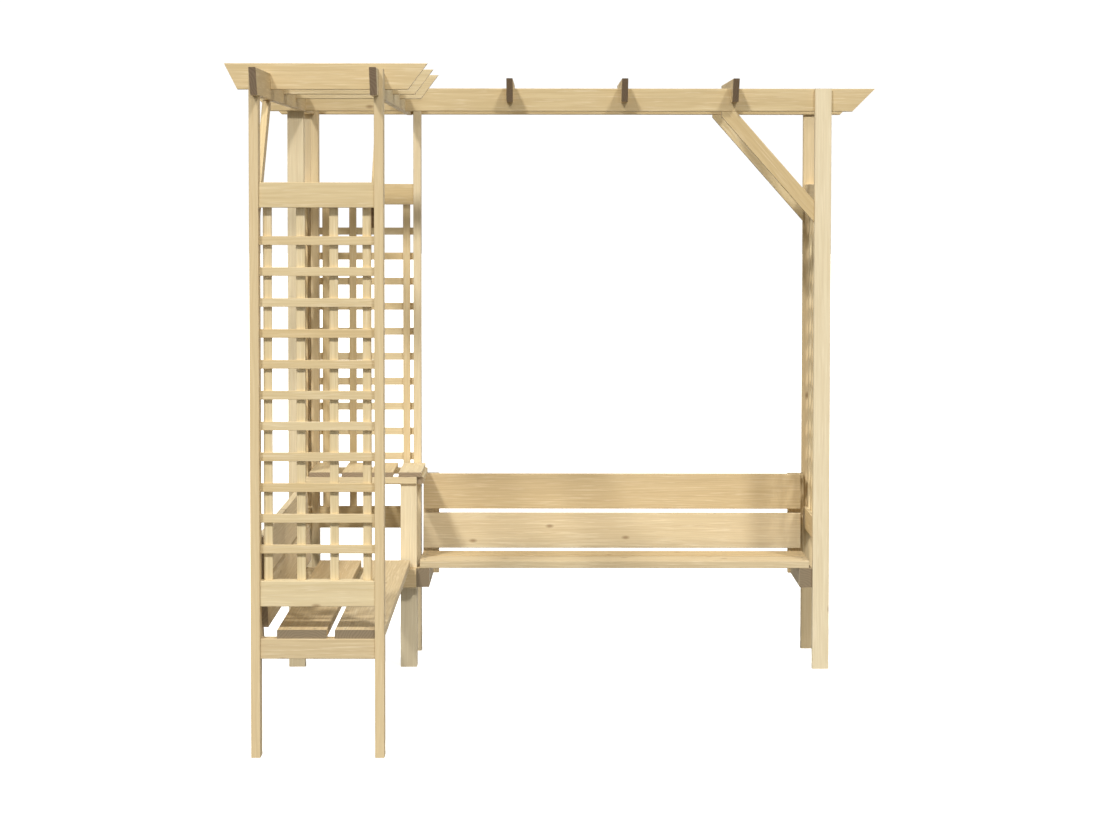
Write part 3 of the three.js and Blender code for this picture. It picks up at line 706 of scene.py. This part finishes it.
def screw_places(facing, cover, under, count):
    """The place and direction of each screw through one board into another."""
    axis = max(range(3), key=lambda i: abs(facing[i]))
    boxes = [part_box(cover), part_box(under)]
    low = [max(box[0][i] for box in boxes) for i in range(3)]
    high = [min(box[1][i] for box in boxes) for i in range(3)]
    others = [i for i in range(3) if i != axis]
    if any(high[i] <= low[i] for i in others):
        return []
    longer = max(others, key=lambda i: high[i] - low[i])
    mesh = frame["nodes"][cover].data
    solid = BVHTree.FromPolygons([v.co for v in mesh.vertices], [p.vertices for p in mesh.polygons])
    found = []
    for i in range(count):
        start = (Vector(low) + Vector(high)) / 2
        start[longer] += (i - (count - 1) / 2) * PAIR_SPACING * (high[longer] - low[longer])
        place, normal = solid.ray_cast(start + facing * RAY_START, -facing)[:2]
        if place and normal.dot(facing) > 0.9:
            found.append((place, normal))
    return found


screws = [
    screw
    for facing, covers, unders, count in FIXINGS
    for cover in covers
    for under in unders
    for screw in screw_places(facing, cover, under, count)
]
print("screws:", len(screws))

# %% [markdown]
# ## A screw's head
# A countersunk head is a disc, nearly flush with the wood, with a cross cut into it. The disc is a short
# cylinder, and two crossed bars are taken out of its top. At 8 mm across it is a few pixels wide, so 24
# sides are plenty.

# %% Geometry Nodes: a screw's head
sockets = {"Places": "Geometry"}
sockets |= dict.fromkeys(["Head Diameter", "Head Height", "Head Proud", "Recess Length", "Recess Width"], "Float")
head_tree, size = new_tree("screw_heads", "Heads", sockets | {"Seed": "Int"})
height = size["Head Height"]
radius = add_node(head_tree, "ShaderNodeMath", {0: size["Head Diameter"], 1: 0.5}, operation="MULTIPLY")
disc = add_node(head_tree, "GeometryNodeMeshCylinder", {"Vertices": 24, "Radius": radius, "Depth": height})
cut = add_node(head_tree, "GeometryNodeMeshBoolean", {0: disc}, operation="DIFFERENCE")
lift = add_node(head_tree, "ShaderNodeMath", {0: height, 1: 0.5}, operation="MULTIPLY")
lift = add_node(head_tree, "ShaderNodeCombineXYZ", {"Z": lift})
for x, y in (("Recess Length", "Recess Width"), ("Recess Width", "Recess Length")):
    bar = add_node(head_tree, "ShaderNodeCombineXYZ", {"X": size[x], "Y": size[y], "Z": height})
    bar = add_node(head_tree, "GeometryNodeMeshCube", {"Size": bar})
    bar = add_node(head_tree, "GeometryNodeTransform", {"Geometry": bar, "Translation": lift})
    head_tree.links.new(bar.outputs[0], cut.inputs["Mesh 2"])
drop = {0: height, 1: -0.5, 2: size["Head Proud"]}
drop = add_node(head_tree, "ShaderNodeMath", drop, operation="MULTIPLY_ADD")
drop = add_node(head_tree, "ShaderNodeCombineXYZ", {"Z": drop})
sunk = add_node(head_tree, "GeometryNodeTransform", {"Geometry": cut, "Translation": drop})
print("nodes for one head:", len(head_tree.nodes))

# %% [markdown]
# ## Heads on the boards
# Seventy heads repeat, so each point gets one. It is faced the way that the point's "facing" attribute
# says, which follows the leaning supports, and spun by a seeded random angle, because nobody lines up the
# crosses.

# %% Geometry Nodes: heads on the boards
facing = add_node(head_tree, "GeometryNodeInputNamedAttribute", {"Name": "facing"}, **vector)
faced = add_node(head_tree, "FunctionNodeAlignRotationToVector", {"Vector": facing}, axis="Z")
angle = {2: 0.0, 3: math.tau, "Seed": size["Seed"]}
angle = add_node(head_tree, "FunctionNodeRandomValue", angle, data_type="FLOAT").outputs[1]
angle = add_node(head_tree, "ShaderNodeCombineXYZ", {"Z": angle})
spin = add_node(head_tree, "FunctionNodeEulerToRotation", {"Euler": angle})
spun = {"Rotation": faced, "Rotate By": spin}
spun = add_node(head_tree, "FunctionNodeRotateRotation", spun, rotation_space="LOCAL")
placed = {"Points": size["Places"], "Instance": sunk, "Rotation": spun}
placed = add_node(head_tree, "GeometryNodeInstanceOnPoints", placed)
real = add_node(head_tree, "GeometryNodeRealizeInstances", {"Geometry": placed})
shown = {"Geometry": real, "Material": materials["screw_zinc"]}
shown = add_node(head_tree, "GeometryNodeSetMaterial", shown)
add_node(head_tree, "NodeGroupOutput", {"Heads": shown})

# %% The screw heads
HEAD_SIZES = {"Head Diameter": mm(8), "Head Height": mm(1.6), "Head Proud": mm(0.3)}
HEAD_SIZES |= {"Recess Length": mm(4.8), "Recess Width": mm(1.4), "Seed": 5}
places = bpy.data.meshes.new("screw_places")
places.from_pydata([place for place, _ in screws], [], [])
facings = places.attributes.new("facing", "FLOAT_VECTOR", "POINT")
facings.data.foreach_set("vector", [value for _, facing in screws for value in facing])
made = grow("screw_maker", places, head_tree, HEAD_SIZES)
made.materials.clear()
made.materials.append(materials["screw_zinc"])
heads = bpy.data.objects.new("screw_heads", made)
scene.collection.objects.link(heads)
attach(heads, "root")
print("faces in each head:", len(made.polygons) // len(screws))

# %% [markdown]
# ## Rays that look
# The arbour was photographed on plain white. A floor and a world bright enough for that would also pour
# light up under the beams. So both are white only for rays that look at them: rays from the camera, and
# those that it sees reflected in metal or through glass. To the light, both stay as they are.


# %% Rays that look
def looking(tree):
    """1 for rays from the camera and for its reflections and refractions, and 0 for light."""
    rays = add_node(tree, "ShaderNodeLightPath").outputs
    seen = {0: rays["Is Camera Ray"], 1: rays["Is Glossy Ray"]}
    seen = add_node(tree, "ShaderNodeMath", seen, operation="MAXIMUM")
    seen = {0: seen, 1: rays["Is Transmission Ray"]}
    return add_node(tree, "ShaderNodeMath", seen, operation="MAXIMUM")


# %% [markdown]
# ## Floor
# The floor is a plane under the arbour. It has a matt colour of its own, near white, and a glow lifts it to
# white for rays that look, so it meets the white world without a line. The glow is strong enough to hide
# almost all of the arbour's shadow on the floor, and a weaker one would keep more of it. To the light the
# floor is mid-grey, which leaves undersides nearly as dark as they are in the photograph.

# %% Floor
FLOOR_REACH = 60.0
FLOOR_DROP = mm(0.5)
material, tree = new_material("pale_floor")
seen = looking(tree)
shade = {0: seen.outputs[0], 6: colour("#606060"), 7: colour("#F4F4F2")}
shade = add_node(tree, "ShaderNodeMix", shade, data_type="RGBA").outputs[2]
matt = add_node(tree, "ShaderNodeBsdfDiffuse", {"Color": shade})
lifted = add_node(tree, "ShaderNodeMath", {0: seen, 1: 0.8}, operation="MULTIPLY")
glow = add_node(tree, "ShaderNodeEmission", {"Color": (1, 1, 1, 1), "Strength": lifted})
both = add_node(tree, "ShaderNodeAddShader", {0: matt, 1: glow})
add_node(tree, "ShaderNodeOutputMaterial", {"Surface": both})
floor_mesh = bpy.data.meshes.new("floor")
corners = [(x * FLOOR_REACH, y * FLOOR_REACH, 0) for x, y in ((-1, -1), (1, -1), (1, 1), (-1, 1))]
floor_mesh.from_pydata(corners, [], [(0, 1, 2, 3)])
floor_mesh.materials.append(material)
floor = bpy.data.objects.new("floor", floor_mesh)
scene.collection.objects.link(floor)
floor.location.z = -FLOOR_DROP
print("the floor reaches", FLOOR_REACH, "metres each way")

# %% [markdown]
# ## World
# The world gives soft light from all sides, as the walls of a white studio do, at less than half of full
# strength. That keeps the lamps' shadows readable.

# %% World
world = bpy.data.worlds.new("studio")
scene.world = world
world.use_nodes = True
tree = world.node_tree
tree.nodes.clear()
soft = add_node(tree, "ShaderNodeBackground", {"Color": colour("#FFFDF8"), "Strength": 0.42})
white = add_node(tree, "ShaderNodeBackground", {"Color": (1, 1, 1, 1), "Strength": 1.05})
shown = add_node(tree, "ShaderNodeMixShader", {0: looking(tree), 1: soft, 2: white})
add_node(tree, "ShaderNodeOutputWorld", {"Surface": shown})
print("soft light:", round(soft.inputs["Strength"].default_value, 2))

# %% [markdown]
# ## Light
# Each rafter's end throws its shadow on the beam to both sides, with soft edges. So two wide lights stand
# high in front, left and right of the arbour, the left one stronger. How far away the real ones stood can't
# be seen. Distant lights are used because they need no place of their own and light near and far posts
# alike. A weak third light, low in front, fills the shadows on front faces and leaves undersides dark.

# %% Distant lights
LIGHT_SPREAD = 6  # degrees of sky that each light fills, which softens its shadows


def distant_light(name, side, height, strength):
    """A light from an angle beside the arbour's front and an angle above the ground, in degrees."""
    side, height = math.radians(side), math.radians(height)
    flat = math.cos(height)
    towards = Vector((math.sin(side) * flat, -math.cos(side) * flat, math.sin(height)))
    data = bpy.data.lights.new(name, "SUN")
    data.angle = math.radians(LIGHT_SPREAD)
    data.energy = strength
    light = bpy.data.objects.new(name, data)
    scene.collection.objects.link(light)
    light.rotation_euler = towards.to_track_quat("Z", "Y").to_euler()
    print(name, "shines from", [round(value, 2) for value in towards])


distant_light("front_left", -30, 47, 2.02)
distant_light("front_right", 30, 47, 1.4)
distant_light("front_low", 8, 7, 0.36)

# %% [markdown]
# ## Camera
# A fit of the model's corners to the photograph's puts the camera 8.5 m away, at head height. The
# photograph's uprights are almost parallel, which happens when a camera looks nearly level, so it is turned
# down by only 2.5 degrees and its frame is shifted for the rest. That leaves the uprights up to 1.5 pixels
# off, because a larger shift would move the arbour out of the frame in views from other sides.

# %% Camera
FOCAL_PX = 2561.46
IMAGE_WIDTH_PX = 1100
PITCH = 2.4911
YAW = -0.0997
ROLL = -0.0562
camera_data = bpy.data.cameras.new("camera")
camera_data.sensor_width = 36
camera_data.lens = FOCAL_PX * camera_data.sensor_width / IMAGE_WIDTH_PX
camera_data.shift_x = -0.0013
camera_data.shift_y = -0.10
camera = bpy.data.objects.new("camera", camera_data)
scene.collection.objects.link(camera)
scene.camera = camera
camera.location = (-0.05015, -8.50714, 1.68841)
camera.rotation_euler = Euler((math.radians(90 - PITCH), math.radians(ROLL), math.radians(YAW)), "XYZ")
scene.view_settings.view_transform = "Standard"
print("focal length in mm:", round(camera_data.lens, 1))
